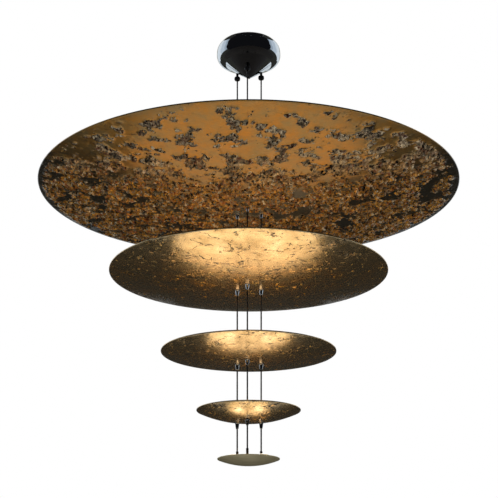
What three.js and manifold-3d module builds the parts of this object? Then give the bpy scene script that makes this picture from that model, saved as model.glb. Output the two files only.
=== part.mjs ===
// Pendant lamp: five gold-leafed dishes hang one under another on three steel cables from a domed canopy.
// Millimetres, +Z up. The origin is the middle of the ceiling plate's top face, which lies on the ceiling.
import * as THREE from 'three';
import { mergeVertices } from 'three/addons/utils/BufferGeometryUtils.js';
import Module from 'manifold-3d';

const wasm = await Module();
wasm.setup();

// Clearances
const seatGap = 0.3;
const cableBoreGap = 0.6;
const boltHoleGap = 0.5;
const barEndClearance = 2;
const toolOverrun = 1;

// Facets round a turned piece, by its size
const wideSides = 48;
const mediumSides = 24;
const smallSides = 20;
const tinySides = 12;

// Canopy dome, a spun shell shaped like a spinning top
const domeMouthDiameter = 204;
const domeWidestDiameter = 238;
const domeWidestDrop = 47;
const domeHeight = 139;
const domeWall = 1.5;
const domeNoseFlatDiameter = 17;
const domeMouthPull = 0.94;
const domeMouthRise = 0.36;
const domeWidestRise = 0.5;
const domeShoulderPull = 0.1;
const domeNosePull = 0.085;
const domeUpperSteps = 3;
const domeLowerSteps = 8;
const noseSearchSteps = 200;

// Ceiling plate and what hangs on its rod
const plateClearance = 3;
const plateThickness = 3;
const plateScrewHole = 5.5;
const plateScrewInset = 15;
const mainsHoleDiameter = 12;
const rodDiameter = 10;
const finialDiameter = 15;
const finialHeight = 4.5;
const finialSocketDepth = 2.7;
const finialCrown = [[0, 1], [0.55, 0.93], [0.88, 0.65], [1, 0.25]];
const carrierDomeClearance = 9.7;
const carrierThickness = 5;
const carrierRimMargin = 9;
const nutAcrossCorners = 20;
const nutHeight = 8;

// Transformer, a wound ring clamped round the rod
const padThickness = 2;
const transformerDiameter = 82;
const transformerHeight = 32;
const transformerRound = 6;
const transformerBoreClearance = 5;
const clampDiameter = 62;
const clampThickness = 2;

// Terminal block under the ceiling plate
const blockLength = 38;
const blockWidth = 15;
const blockHeight = 14;
const blockBaseHeight = 8.4;
const blockRidgeWidth = 8.2;
const blockRidgeInset = 0.8;
const blockClearance = 17.5;

// Cables, in a triangle with one cable towards the front
const cableDiameter = 5.5;
const cableCircleTop = 104;
const cableCircleBottom = 93.5;
const cableTurn = -5;
const cableTail = 36;

// Nozzle and grip knob of each cable, under the dome
const nozzleDiameter = 9.5;
const nozzleFlangeDiameter = 16;
const nozzleFlangeThickness = 3;
const nozzleTopStand = 3;
const knobDomeClearance = 6;
const knobDiameter = 22;
const knobHeight = 14;
const knobRound = 3;
const knobGripDepth = 8;

// Dishes, numbered from the top. A drop is from the rim above, the first one from the ceiling.
const dish1Diameter = 1500;
const dish1Depth = 75;
const dish1Wall = 5;
const dish1Drop = 590;
const dish2Diameter = 978;
const dish2Depth = 50;
const dish2Wall = 4.5;
const dish2Drop = 313;
const dish3Diameter = 604;
const dish3Depth = 35.5;
const dish3Wall = 4;
const dish3Drop = 282;
const dish4Diameter = 354;
const dish4Depth = 39;
const dish4Wall = 3.5;
const dish4Drop = 202;
const dish5Diameter = 210;
const dish5Depth = 20;
const dish5Wall = 3;
const dish5Drop = 164;

// Conical stop under each dish on each cable, and the terminal at each cable's foot
const stopTopDiameter = 16;
const stopFootDiameter = 8.5;
const stopHeight = 20;
const stopLip = 2;
const endDiameter = 9;
const endLength = 41;
const endFlangeDiameter = 14;
const endFlangeThickness = 3;
const endFlangeShoulder = 2;
const endSocketDepth = 24;

// Lamps, two on a bar on each dish from the second down
const dish2LampSpread = 150;
const dish3LampSpread = 230;
const dish4LampSpread = 150;
const dish5LampSpread = 100;
const barWidth = 14;
const barThickness = 2;
const barFootDiameter = 14;
const barOverhang = 11;
const lampholderDiameter = 30;
const lampholderHeight = 9;
const lampholderCollar = 6.3;
const lampholderRound = 1;
const lampDiameter = 35;
const lampHeight = 14;
const lampNeckDiameter = 24;
const lampFlare = 0.86;
const lampFlareHeight = 5.6;
const lampRimBand = 1.5;
const lampGlassCrown = 2.5;
const lampGlassShoulder = 0.6;

// Finishes: colour, roughness, metalness
const finishes = {
  chrome: new THREE.MeshStandardMaterial({ color: 0xd9dcde, roughness: 0.05, metalness: 1 }),
  zincSteel: new THREE.MeshStandardMaterial({ color: 0xa8abad, roughness: 0.4, metalness: 1 }),
  blackPlastic: new THREE.MeshStandardMaterial({ color: 0x0d0d0e, roughness: 0.45, metalness: 0 }),
  rubber: new THREE.MeshStandardMaterial({ color: 0x1b1b1c, roughness: 0.9, metalness: 0 }),
  windingTape: new THREE.MeshStandardMaterial({ color: 0xb8a23a, roughness: 0.5, metalness: 0 }),
  terminalPlastic: new THREE.MeshStandardMaterial({ color: 0xe6e2d6, roughness: 0.5, metalness: 0 }),
  steelCable: new THREE.MeshStandardMaterial({ color: 0x6e6c6a, roughness: 0.35, metalness: 1 }),
  darkSteel: new THREE.MeshStandardMaterial({ color: 0x2f2e30, roughness: 0.4, metalness: 1 }),
  goldLeaf: new THREE.MeshStandardMaterial({ color: 0x9a6f2c, roughness: 0.42, metalness: 1 }),
  brass: new THREE.MeshStandardMaterial({ color: 0x8a5a36, roughness: 0.35, metalness: 1 }),
  ceramic: new THREE.MeshStandardMaterial({ color: 0xe4e0d8, roughness: 0.6, metalness: 0 }),
  lampGlass: new THREE.MeshStandardMaterial({ color: 0xfff1cf, roughness: 0.1, metalness: 0 }),
};

// Mesh helpers

// Welds a geometry's corners by position and drops triangles that have shrunk to a line.
function weld(geometry) {
  const bare = new THREE.BufferGeometry();
  bare.setAttribute('position', geometry.getAttribute('position').clone());
  bare.setIndex(geometry.index ? geometry.index.clone() : null);
  const merged = mergeVertices(bare, 1e-4);
  const corners = merged.index.array;
  const kept = [];
  for (let i = 0; i < corners.length; i += 3) {
    const [a, b, c] = [corners[i], corners[i + 1], corners[i + 2]];
    if (a !== b && b !== c && c !== a) kept.push(a, b, c);
  }
  merged.setIndex(kept);
  return merged;
}

function toSolid(geometry) {
  const welded = weld(geometry);
  return new wasm.Manifold(new wasm.Mesh({
    numProp: 3,
    vertProperties: new Float32Array(welded.getAttribute('position').array),
    triVerts: new Uint32Array(welded.index.array),
  }));
}

function toGeometry(solid) {
  const mesh = solid.getMesh();
  const geometry = new THREE.BufferGeometry();
  geometry.setAttribute('position', new THREE.BufferAttribute(mesh.vertProperties, 3));
  geometry.setIndex(new THREE.BufferAttribute(mesh.triVerts, 1));
  return geometry;
}

// A body turned about Z from a closed run of [radius, height] points, listed anticlockwise from the foot.
function turned(points, sides) {
  const profile = points.map(([radius, height]) => new THREE.Vector2(radius, height));
  return weld(new THREE.LatheGeometry(profile, sides).rotateX(Math.PI / 2));
}

// A turned ring: its profile closes on itself and never reaches the axis.
function turnedRing(points, sides) {
  return turned([...points, points[0]], sides);
}

// An upright round bar that is used as a cutting tool or a plain pin.
function roundBar(diameter, low, high, sides = tinySides) {
  const bar = new THREE.CylinderGeometry(diameter / 2, diameter / 2, high - low, sides);
  return bar.rotateX(Math.PI / 2).translate(0, 0, (low + high) / 2);
}

function cut(geometry, tools) {
  let solid = toSolid(geometry);
  for (const tool of tools) solid = solid.subtract(toSolid(tool));
  return toGeometry(solid);
}

function joined(first, second) {
  return toGeometry(toSolid(first).add(toSolid(second)));
}

// Quarter-round corner from one angle to another, as [radius, height] points.
function arc(centreRadius, centreHeight, radius, fromDegrees, toDegrees, steps) {
  return Array.from({ length: steps + 1 }, (_, i) => {
    const angle = THREE.MathUtils.degToRad(fromDegrees + (toDegrees - fromDegrees) * i / steps);
    return [centreRadius + radius * Math.cos(angle), centreHeight + radius * Math.sin(angle)];
  });
}

const group = new THREE.Group();

function addMesh(name, geometry, finish, [x, y, z] = [0, 0, 0], turn = 0) {
  const mesh = new THREE.Mesh(geometry, finish);
  mesh.name = name;
  mesh.position.set(x, y, z);
  mesh.rotation.z = turn;
  group.add(mesh);
  return mesh;
}

// The dome's profile from its mouth to its nose, set in by a wall thickness
function domeProfile(setIn) {
  const mouth = domeMouthDiameter / 2 - setIn;
  const widest = domeWidestDiameter / 2 - setIn;
  const nose = domeHeight - setIn;
  const cone = domeHeight - domeWidestDrop;
  const upper = new THREE.CubicBezierCurve(
    new THREE.Vector2(mouth, -seatGap),
    new THREE.Vector2(mouth + (widest - mouth) * domeMouthPull, -domeWidestDrop * domeMouthRise),
    new THREE.Vector2(widest, -domeWidestDrop * domeWidestRise),
    new THREE.Vector2(widest, -domeWidestDrop),
  );
  const lower = new THREE.CubicBezierCurve(
    new THREE.Vector2(widest, -domeWidestDrop),
    new THREE.Vector2(widest, -domeWidestDrop - cone * domeShoulderPull),
    new THREE.Vector2(widest * domeNosePull, -nose),
    new THREE.Vector2(0, -nose),
  );
  const pastFlat = lower.getPoints(noseSearchSteps).findIndex((point) => point.x < domeNoseFlatDiameter / 2);
  const noseShare = pastFlat / noseSearchSteps;
  const lowerPoints = Array.from({ length: domeLowerSteps }, (_, i) => (
    lower.getPoint(noseShare * (i + 1) / domeLowerSteps)
  ));
  return [...upper.getPoints(domeUpperSteps), ...lowerPoints].map((point) => [point.x, point.y]);
}

// Height of a dome profile's cone at a distance from the axis
function coneHeight(profile, radius) {
  const after = profile.findLastIndex((point) => point[0] > radius) + 1;
  const [[outerRadius, outerHeight], [innerRadius, innerHeight]] = [profile[after - 1], profile[after]];
  return innerHeight + (outerHeight - innerHeight) * (radius - innerRadius) / (outerRadius - innerRadius);
}

// Places worked out from the sizes

const plateRadius = domeMouthDiameter / 2 - domeWall - plateClearance;
const plateUnderside = -plateThickness;
const domeOuter = domeProfile(0);
const domeInner = domeProfile(domeWall);
const noseHeight = domeOuter[domeOuter.length - 1][1];
const carrierDiameter = cableCircleTop + 2 * carrierRimMargin;
const carrierUnderside = coneHeight(domeInner, carrierDiameter / 2) + carrierDomeClearance;
const carrierTop = carrierUnderside + carrierThickness;
const knobTop = coneHeight(domeOuter, (cableCircleTop - knobDiameter) / 2) - knobDomeClearance;
const cableBore = cableDiameter + 2 * cableBoreGap;
const turnAngle = THREE.MathUtils.degToRad(cableTurn);

const dishes = [
  { diameter: dish1Diameter, depth: dish1Depth, wall: dish1Wall, drop: dish1Drop, sides: 64, rings: 5 },
  { diameter: dish2Diameter, depth: dish2Depth, wall: dish2Wall, drop: dish2Drop, sides: 56, rings: 4,
    lampSpread: dish2LampSpread },
  { diameter: dish3Diameter, depth: dish3Depth, wall: dish3Wall, drop: dish3Drop, sides: 48, rings: 4,
    lampSpread: dish3LampSpread },
  { diameter: dish4Diameter, depth: dish4Depth, wall: dish4Wall, drop: dish4Drop, sides: 40, rings: 4,
    lampSpread: dish4LampSpread },
  { diameter: dish5Diameter, depth: dish5Depth, wall: dish5Wall, drop: dish5Drop, sides: 32, rings: 3,
    lampSpread: dish5LampSpread },
];

// Each rim height is at the middle of the dish's edge, so the wall lies half above it and half below.
let rimHeight = 0;
dishes.forEach((dish, index) => {
  rimHeight -= dish.drop;
  dish.number = index + 1;
  dish.radius = dish.diameter / 2;
  dish.lowerRim = rimHeight - dish.wall / 2;
  dish.sphere = (dish.radius ** 2 + dish.depth ** 2) / (2 * dish.depth);
});

// Height of a dish's underside where one of its rings lies: part of a large sphere.
function ringHeight(dish, radius) {
  return dish.lowerRim - dish.depth + dish.sphere - Math.sqrt(dish.sphere ** 2 - radius ** 2);
}

// Height of a dish's underside at any distance from its middle, straight from ring to ring as it is built
function underside(dish, radius) {
  const ringStep = dish.radius / dish.rings;
  const inner = Math.min(Math.floor(radius / ringStep), dish.rings - 1) * ringStep;
  const share = (radius - inner) / ringStep;
  return ringHeight(dish, inner) * (1 - share) + ringHeight(dish, inner + ringStep) * share;
}

function upperSide(dish, radius) {
  return underside(dish, radius) + dish.wall;
}

const lowestDish = dishes[dishes.length - 1];
const endFoot = upperSide(lowestDish, (cableCircleBottom + endFlangeDiameter) / 2) + seatGap;
const cableFoot = endFoot + endLength - endSocketDepth + seatGap;

// The three cables draw together slightly on their way down.
function cableRadiusAt(height) {
  const share = (carrierTop - height) / (carrierTop - cableFoot);
  return (cableCircleTop + (cableCircleBottom - cableCircleTop) * share) / 2;
}

const cables = [
  { side: 'near', angle: THREE.MathUtils.degToRad(270 + cableTurn) },
  { side: 'right', angle: THREE.MathUtils.degToRad(30 + cableTurn) },
  { side: 'left', angle: THREE.MathUtils.degToRad(150 + cableTurn) },
];

function cablePoint(cable, height) {
  const radius = cableRadiusAt(height);
  return new THREE.Vector3(radius * Math.cos(cable.angle), radius * Math.sin(cable.angle), height);
}

// Cutting tools for the three cable holes in a sheet between two heights
function cableHoles(diameter, low, high) {
  return cables.map((cable) => {
    const { x, y } = cablePoint(cable, (low + high) / 2);
    return roundBar(diameter, low - toolOverrun, high + toolOverrun).translate(x, y, 0);
  });
}

// Canopy

function canopyDome() {
  const holeRadius = rodDiameter / 2 + boltHoleGap;
  const shell = turnedRing([
    [holeRadius, noseHeight],
    ...domeOuter.toReversed(),
    ...domeInner,
    [holeRadius, domeInner[domeInner.length - 1][1]],
  ], wideSides);
  return cut(shell, cableHoles(nozzleDiameter + 2 * boltHoleGap, -domeHeight, carrierUnderside));
}

function ceilingPlate() {
  const plate = roundBar(2 * plateRadius, plateUnderside, 0, wideSides);
  const screwCircle = plateRadius - plateScrewInset;
  const tools = [60, 180, 300].map((degrees) => {
    const angle = THREE.MathUtils.degToRad(degrees + cableTurn);
    return roundBar(plateScrewHole, plateUnderside - toolOverrun, toolOverrun)
      .translate(screwCircle * Math.cos(angle), screwCircle * Math.sin(angle), 0);
  });
  const mainsHole = roundBar(mainsHoleDiameter, plateUnderside - toolOverrun, toolOverrun);
  tools.push(mainsHole.translate(mainsHoleX, mainsHoleY, 0));
  return cut(plate, tools);
}

const rodTop = plateUnderside - seatGap;
const finialTop = noseHeight - seatGap;
const rodFoot = finialTop - finialSocketDepth + seatGap;

function finialNut() {
  const boreRadius = rodDiameter / 2 + seatGap;
  const radius = finialDiameter / 2;
  const crown = finialCrown.map(([across, down]) => [radius * across, -finialHeight * down]);
  return turned([
    ...crown,
    [radius, 0],
    [boreRadius, 0],
    [boreRadius, -finialSocketDepth],
    [0, -finialSocketDepth],
  ], smallSides);
}

// A six-sided nut with a plain bore
function hexNut() {
  const bar = roundBar(nutAcrossCorners, -nutHeight, 0, 6);
  return cut(bar, [roundBar(rodDiameter + 2 * seatGap, -nutHeight - toolOverrun, toolOverrun, smallSides)]);
}

function carrierPlate() {
  const plate = roundBar(carrierDiameter, carrierUnderside, carrierTop, wideSides);
  const [low, high] = [carrierUnderside - toolOverrun, carrierTop + toolOverrun];
  const rodHole = roundBar(rodDiameter + 2 * seatGap, low, high, smallSides);
  return cut(plate, [rodHole, ...cableHoles(nozzleDiameter + 2 * seatGap, carrierUnderside, carrierTop)]);
}

// Transformer stack, from the ceiling plate down
const padTop = plateUnderside - seatGap;
const transformerTop = padTop - padThickness - seatGap;
const clampTop = transformerTop - transformerHeight - seatGap;
const transformerBore = rodDiameter + 2 * transformerBoreClearance;

function washer(outer, bore, thickness) {
  const profile = [[bore / 2, -thickness], [outer / 2, -thickness], [outer / 2, 0], [bore / 2, 0]];
  return turnedRing(profile, mediumSides);
}

function transformerRing() {
  const outer = transformerDiameter / 2 - transformerRound;
  const inner = transformerBore / 2;
  const low = -transformerHeight;
  return turnedRing([
    [inner, low],
    ...arc(outer, low + transformerRound, transformerRound, -90, 0, 2),
    ...arc(outer, -transformerRound, transformerRound, 0, 90, 2),
    [inner, 0],
  ], mediumSides);
}

// Terminal block behind the transformer, with the mains hole beside it
const blockY = transformerDiameter / 2 + blockClearance + blockWidth / 2;
const mainsHoleX = -(blockLength / 2 + mainsHoleDiameter);
const mainsHoleY = blockY - blockWidth / 2;

function terminalBlock() {
  const base = new THREE.BoxGeometry(blockLength, blockWidth, blockBaseHeight);
  base.translate(0, 0, -blockBaseHeight / 2);
  const ridge = new THREE.BoxGeometry(blockLength - 2 * blockRidgeInset, blockRidgeWidth, blockHeight);
  ridge.translate(0, 0, -blockHeight / 2);
  return joined(base, ridge);
}

addMesh('ceiling_plate', ceilingPlate(), finishes.zincSteel);
addMesh('centre_rod', roundBar(rodDiameter, rodFoot, rodTop, smallSides), finishes.zincSteel);
addMesh('transformer_pad', washer(clampDiameter, transformerBore, padThickness), finishes.rubber,
  [0, 0, padTop]);
addMesh('transformer', transformerRing(), finishes.windingTape, [0, 0, transformerTop]);
addMesh('transformer_clamp', washer(clampDiameter, rodDiameter + 2 * seatGap, clampThickness),
  finishes.zincSteel, [0, 0, clampTop]);
addMesh('transformer_nut', hexNut(), finishes.zincSteel, [0, 0, clampTop - clampThickness - seatGap]);
addMesh('terminal_block', terminalBlock(), finishes.terminalPlastic, [0, blockY, plateUnderside - seatGap]);
addMesh('carrier_plate', carrierPlate(), finishes.zincSteel);
addMesh('carrier_nut', hexNut(), finishes.zincSteel, [0, 0, carrierUnderside - seatGap]);
addMesh('canopy_dome', canopyDome(), finishes.chrome);
addMesh('finial_nut', finialNut(), finishes.chrome, [0, 0, finialTop]);

// Cable fittings under the canopy

const nozzleFoot = knobTop - knobGripDepth + seatGap;

function cableNozzle() {
  const bore = cableBore / 2;
  const stem = nozzleDiameter / 2;
  const flange = nozzleFlangeDiameter / 2;
  const flangeTop = carrierUnderside - seatGap;
  const flangeFoot = flangeTop - nozzleFlangeThickness;
  return turnedRing([
    [bore, nozzleFoot],
    [stem, nozzleFoot],
    [stem, flangeFoot],
    [flange, flangeFoot],
    [flange, flangeTop],
    [stem, flangeTop],
    [stem, carrierTop + nozzleTopStand],
    [bore, carrierTop + nozzleTopStand],
  ], tinySides);
}

function gripKnob() {
  const bore = cableBore / 2;
  const socket = nozzleDiameter / 2 + seatGap;
  const radius = knobDiameter / 2;
  const low = -knobHeight;
  return turnedRing([
    [bore, low],
    ...arc(radius - knobRound, low + knobRound, knobRound, -90, 0, 2),
    ...arc(radius - knobRound, -knobRound, knobRound, 0, 90, 2),
    [socket, 0],
    [socket, -knobGripDepth],
    [bore, -knobGripDepth],
  ], smallSides);
}

function cableRope(cable) {
  const top = cablePoint(cable, carrierTop + cableTail);
  const foot = cablePoint(cable, cableFoot);
  const along = top.clone().sub(foot);
  const geometry = new THREE.CylinderGeometry(cableDiameter / 2, cableDiameter / 2, along.length(), 8);
  const mesh = new THREE.Mesh(geometry, finishes.steelCable);
  mesh.name = `cable_${cable.side}`;
  mesh.position.copy(top.add(foot).multiplyScalar(0.5));
  mesh.quaternion.setFromUnitVectors(new THREE.Vector3(0, 1, 0), along.normalize());
  return mesh;
}

for (const cable of cables) {
  const atNozzle = cablePoint(cable, (carrierTop + nozzleFoot) / 2);
  const atKnob = cablePoint(cable, knobTop);
  addMesh(`cable_nozzle_${cable.side}`, cableNozzle(), finishes.darkSteel, [atNozzle.x, atNozzle.y, 0]);
  addMesh(`grip_knob_${cable.side}`, gripKnob(), finishes.blackPlastic, [atKnob.x, atKnob.y, knobTop]);
  group.add(cableRope(cable));
}

// Dishes

function dishShell(dish) {
  const rings = dish.rings;
  const lower = Array.from({ length: rings + 1 }, (_, i) => {
    const radius = dish.radius * i / rings;
    return [radius, ringHeight(dish, radius)];
  });
  const upper = lower.map(([radius, height]) => [radius, height + dish.wall]).toReversed();
  const shell = turned([...lower, ...upper], dish.sides);
  if (dish === lowestDish) return shell;
  return cut(shell, cableHoles(cableBore, dish.lowerRim - dish.depth, dish.lowerRim + dish.wall));
}

// The stop's bore is a running fit on the cable, and its wide top bears on the dish.
function cableStop() {
  const bore = cableDiameter / 2 + seatGap;
  return turnedRing([
    [bore, -stopHeight],
    [stopFootDiameter / 2, -stopHeight],
    [stopTopDiameter / 2, -stopLip],
    [stopTopDiameter / 2, 0],
    [bore, 0],
  ], tinySides);
}

function cableEnd() {
  const body = endDiameter / 2;
  const socket = cableDiameter / 2 + seatGap;
  const socketFloor = endLength - endSocketDepth;
  return turned([
    [0, 0],
    [endFlangeDiameter / 2, 0],
    [endFlangeDiameter / 2, endFlangeThickness],
    [body, endFlangeThickness + endFlangeShoulder],
    [body, endLength],
    [socket, endLength],
    [socket, socketFloor],
    [0, socketFloor],
  ], tinySides);
}

for (const dish of dishes) {
  addMesh(`dish_${dish.number}`, dishShell(dish), finishes.goldLeaf);
}

for (const dish of dishes.slice(0, -1)) {
  for (const cable of cables) {
    const radius = cableRadiusAt(dish.lowerRim - dish.depth);
    const seat = underside(dish, radius - stopTopDiameter / 2) - seatGap;
    const { x, y } = cablePoint(cable, seat - stopHeight / 2);
    addMesh(`cable_stop_${dish.number}_${cable.side}`, cableStop(), finishes.chrome, [x, y, seat]);
  }
}

for (const cable of cables) {
  const { x, y } = cablePoint(cable, cableFoot);
  addMesh(`cable_end_${cable.side}`, cableEnd(), finishes.darkSteel, [x, y, endFoot]);
}

// Lamps

// Height at which the bar's foot stands in the dish
function barSeat(dish) {
  return upperSide(dish, barFootDiameter / 2);
}

// The foot lifts the bar until its ends clear the rising dish.
function barFootHeight(dish) {
  const reach = Math.hypot(dish.lampSpread / 2 + barOverhang, barWidth / 2);
  return upperSide(dish, reach) - barSeat(dish) + barEndClearance;
}

function lampBar(dish) {
  const foot = barFootHeight(dish);
  const length = dish.lampSpread + 2 * barOverhang;
  const strip = new THREE.BoxGeometry(length, barWidth, barThickness);
  strip.translate(0, 0, foot + barThickness / 2);
  return joined(strip, roundBar(barFootDiameter, seatGap, foot + barThickness / 2));
}

function lampholder() {
  const radius = lampholderDiameter / 2;
  const waist = lampNeckDiameter / 2;
  return turned([
    [0, 0],
    [radius - lampholderRound, 0],
    [radius, lampholderRound],
    [radius, lampholderCollar],
    [waist, lampholderHeight],
    [0, lampholderHeight],
  ], smallSides);
}

// A shallow reflector lamp: a flared body with a slightly crowned front glass
function reflectorLamp() {
  const rim = lampDiameter / 2;
  const shoulder = lampHeight - lampGlassCrown;
  return turned([
    [0, 0],
    [lampNeckDiameter / 2, 0],
    [rim * lampFlare, lampFlareHeight],
    [rim, shoulder - lampRimBand],
    [rim, shoulder],
    [rim * lampGlassShoulder, lampHeight - lampGlassCrown * (1 - lampGlassShoulder) ** 2],
    [0, lampHeight],
  ], smallSides);
}

for (const dish of dishes.slice(1)) {
  addMesh(`lamp_bar_${dish.number}`, lampBar(dish), finishes.brass, [0, 0, barSeat(dish)], turnAngle);
  const holderFoot = barSeat(dish) + barFootHeight(dish) + barThickness + seatGap;
  for (const [side, sign] of [['left', -1], ['right', 1]]) {
    const x = sign * dish.lampSpread / 2 * Math.cos(turnAngle);
    const y = sign * dish.lampSpread / 2 * Math.sin(turnAngle);
    addMesh(`lampholder_${dish.number}_${side}`, lampholder(), finishes.ceramic, [x, y, holderFoot]);
    addMesh(`lamp_${dish.number}_${side}`, reflectorLamp(), finishes.lampGlass,
      [x, y, holderFoot + lampholderHeight + seatGap]);
  }
}

export default group;
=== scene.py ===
"""Pendant lamp: five gold-leafed dishes on three steel cables under a polished canopy.

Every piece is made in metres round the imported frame: +Z is up, the ceiling is at height 0 and the front
faces -Y. Each operator below makes one piece or one group of like pieces.
"""
import math
from functools import partial

import bmesh
import bpy
import numpy as np
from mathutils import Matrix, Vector


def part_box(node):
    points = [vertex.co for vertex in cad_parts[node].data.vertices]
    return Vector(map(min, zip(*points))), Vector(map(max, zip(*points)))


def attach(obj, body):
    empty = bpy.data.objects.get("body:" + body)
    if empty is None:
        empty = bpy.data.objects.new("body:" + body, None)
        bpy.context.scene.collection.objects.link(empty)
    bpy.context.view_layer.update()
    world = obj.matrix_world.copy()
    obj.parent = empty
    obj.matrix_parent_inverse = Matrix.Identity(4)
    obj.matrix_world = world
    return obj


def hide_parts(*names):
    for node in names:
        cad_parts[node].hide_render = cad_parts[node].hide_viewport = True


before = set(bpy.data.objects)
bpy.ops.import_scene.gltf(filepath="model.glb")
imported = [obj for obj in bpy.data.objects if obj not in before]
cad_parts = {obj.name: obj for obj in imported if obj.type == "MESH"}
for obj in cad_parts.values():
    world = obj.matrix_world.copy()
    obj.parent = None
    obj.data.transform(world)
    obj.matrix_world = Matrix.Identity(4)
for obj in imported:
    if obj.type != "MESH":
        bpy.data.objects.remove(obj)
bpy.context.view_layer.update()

bl_info = {
    "name": "Pendant Lamp",
    "version": (1, 0, 0),
    "blender": (4, 5, 0),
    "location": "View3D > Sidebar > Lamp",
    "description": "Makes the visible pieces of a pendant lamp with five gold-leafed dishes",
    "category": "Add Mesh",
}

CANOPY = "canopy"
STACK = "hanging_dishes"
CABLE_SIDES = ("near", "right", "left")
LAMP_SIDES = ("left", "right")
DISH_NUMBERS = (1, 2, 3, 4, 5)
LIT_DISHES = (2, 3, 4, 5)
# A ring under this radius is one point
FLAT = 1e-9
# A ring at a piece's end lies within this height, also where it leans with a cable
RING_SPREAD = 0.001
# Air in a bore: round what is seated in it, and round a cable that passes through
SEAT_GAP = 0.0003
CABLE_GAP = 0.0006
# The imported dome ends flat, so much above the end of the curve that it is spun to
DOME_NOSE_SHORT = 0.00385
DOME_NOSE_RADIUS = 0.0085
# Kinds of node, those of arithmetic with their operation
PLUS, MINUS, TIMES, OVER, TIMES_PLUS, LARGER = (
    ("ShaderNodeMath", name) for name in ("ADD", "SUBTRACT", "MULTIPLY", "DIVIDE", "MULTIPLY_ADD", "MAXIMUM"))
VECTOR_PLUS, VECTOR_MINUS, VECTOR_TIMES, VECTOR_SCALED, VECTOR_LENGTH, VECTOR_GAP, VECTOR_UNIT = (
    ("ShaderNodeVectorMath", name)
    for name in ("ADD", "SUBTRACT", "MULTIPLY", "SCALE", "LENGTH", "DISTANCE", "NORMALIZE"))
MAP_RANGE = "ShaderNodeMapRange"
NOISE = "ShaderNodeTexNoise"
VORONOI = "ShaderNodeTexVoronoi"
SEPARATE = "ShaderNodeSeparateXYZ"
COMBINE = "ShaderNodeCombineXYZ"


# Colours, nodes and meshes

def linear(hex_colour):
    """An sRGB hex colour as linear red, green, blue and alpha."""
    channels = [int(hex_colour[i:i + 2], 16) / 255 for i in (1, 3, 5)]
    return tuple(c / 12.92 if c <= 0.04045 else ((c + 0.055) / 1.055) ** 2.4 for c in channels) + (1.0,)


def set_inputs(node, inputs):
    """Sets a node's inputs. Each is a value, or a socket or the node whose first output is linked to it."""
    for name, value in inputs.items():
        if isinstance(value, bpy.types.Node):
            value = value.outputs[0]
        if isinstance(value, bpy.types.NodeSocket):
            node.id_data.links.new(value, node.inputs[name])
        else:
            node.inputs[name].default_value = value


def add_node(tree, kind, *inputs, **settings):
    """Adds a node with its own settings. Its inputs are given in order, or in one dictionary."""
    if isinstance(kind, tuple):
        kind, settings["operation"] = kind
    node = tree.nodes.new(kind)
    for name, value in settings.items():
        setattr(node, name, value)
    by_name = inputs and isinstance(inputs[0], dict)
    set_inputs(node, inputs[0] if by_name else dict(enumerate(inputs)))
    return node


def cleared(owner):
    """Empties the node tree of a material or a world, and returns what adds a node to it."""
    owner.use_nodes = True
    owner.node_tree.nodes.clear()
    return partial(add_node, owner.node_tree)


def new_material(name, **shader_values):
    """A material with one Principled shader. Returns the material, what adds a node to it, and the shader."""
    material = bpy.data.materials.new(name)
    add = cleared(material)
    inputs = {key.replace("_", " ").title().replace("Ior", "IOR"): value
              for key, value in shader_values.items()}
    shader = add("ShaderNodeBsdfPrincipled", inputs)
    add("ShaderNodeOutputMaterial", shader)
    return material, add, shader


def shade(mesh, sharp_degrees):
    """Shades a mesh smooth, except where its faces meet at more than an angle."""
    mesh.shade_smooth()
    mesh.set_sharp_from_angle(angle=math.radians(sharp_degrees))


def new_object(name, data):
    """An object at the origin, linked to the scene."""
    made = bpy.data.objects.new(name, data)
    bpy.context.scene.collection.objects.link(made)
    return made


def mesh_object(name, points, faces, material, sharp_degrees=35):
    """A mesh object at the origin with one finish."""
    mesh = bpy.data.meshes.new(name)
    mesh.from_pydata([tuple(point) for point in points], [], faces)
    mesh.update()
    shade(mesh, sharp_degrees)
    mesh.materials.append(material)
    return new_object(name, mesh)


def strip_between(first, second, start_first, start_second):
    """Faces between two rings of points, of one number or one with twice as many. One may be a point."""
    a = [start_first + i for i in range(first)] + [start_first]
    b = [start_second + i for i in range(second)] + [start_second]
    if first == 1:
        return [(a[0], b[i + 1], b[i]) for i in range(second)]
    if second == 1:
        return [(a[i], a[i + 1], b[0]) for i in range(first)]
    if first == second:
        return [(a[i], a[i + 1], b[i + 1], b[i]) for i in range(first)]
    faces = []
    if second == 2 * first:
        for i in range(first):
            faces += [(a[i], b[2 * i + 1], b[2 * i]), (a[i], a[i + 1], b[2 * i + 1]),
                      (a[i + 1], b[2 * i + 2], b[2 * i + 1])]
    else:
        for i in range(second):
            faces += [(a[2 * i], a[2 * i + 1], b[i]), (a[2 * i + 1], b[i + 1], b[i]),
                      (a[2 * i + 1], a[2 * i + 2], b[i + 1])]
    return faces


def ring_body(rings, closed=False):
    """Points and faces of a body of rings about Z, each (radius, height, sectors), from its foot outwards."""
    points, starts, counts = [], [], []
    for radius, height, sectors in rings:
        count = 1 if radius < FLAT else sectors
        starts.append(len(points))
        counts.append(count)
        turns = np.arange(count) * (2 * math.pi / count)
        points += [(radius * math.cos(t), radius * math.sin(t), height) for t in turns]
    faces = []
    last = len(rings) if closed else len(rings) - 1
    for i in range(last):
        j = (i + 1) % len(rings)
        faces += strip_between(counts[i], counts[j], starts[i], starts[j])
    return points, faces


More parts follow.
